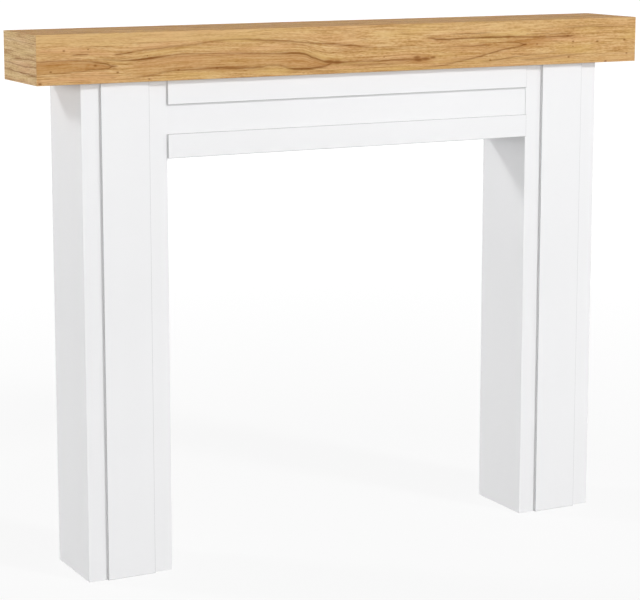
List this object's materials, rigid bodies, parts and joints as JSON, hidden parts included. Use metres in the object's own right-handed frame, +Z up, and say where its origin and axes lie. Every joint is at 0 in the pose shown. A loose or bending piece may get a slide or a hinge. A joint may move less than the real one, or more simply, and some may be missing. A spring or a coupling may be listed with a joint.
{
  "type": "fireplace mantelpiece",
  "caption": "Plain modern fire surround: an oak-finish box beam as mantel shelf across white square legs with raised centre panels and a white header with raised strips.",
  "frame": {"origin": "on the floor under the middle of the beam, midway between its front face and its wall side", "axes": "+X along the beam, to the right as seen from the room; +Y from the room towards the wall; +Z up"},
  "size_m": [1.27, 0.168, 1],
  "materials": {
    "oak_shelf": "satin",
    "oak_fascia": "satin",
    "oak_end": "satin",
    "white_board": "satin"
  },
  "bodies": {
    "root": {"beam_top_board": "oak_shelf", "beam_bottom_board": "oak_shelf", "beam_front_board": "oak_fascia", "beam_left_end_board": "oak_end", "beam_right_end_board": "oak_end", "left_leg_front_board": "white_board", "left_leg_outer_side": "white_board", "left_leg_inner_side": "white_board", "left_leg_overlay_panel": "white_board", "right_leg_front_board": "white_board", "right_leg_outer_side": "white_board", "right_leg_inner_side": "white_board", "right_leg_overlay_panel": "white_board", "header_board": "white_board", "header_soffit_board": "white_board", "header_top_strip": "white_board", "header_bottom_strip": "white_board"}
  },
  "joints": []
}
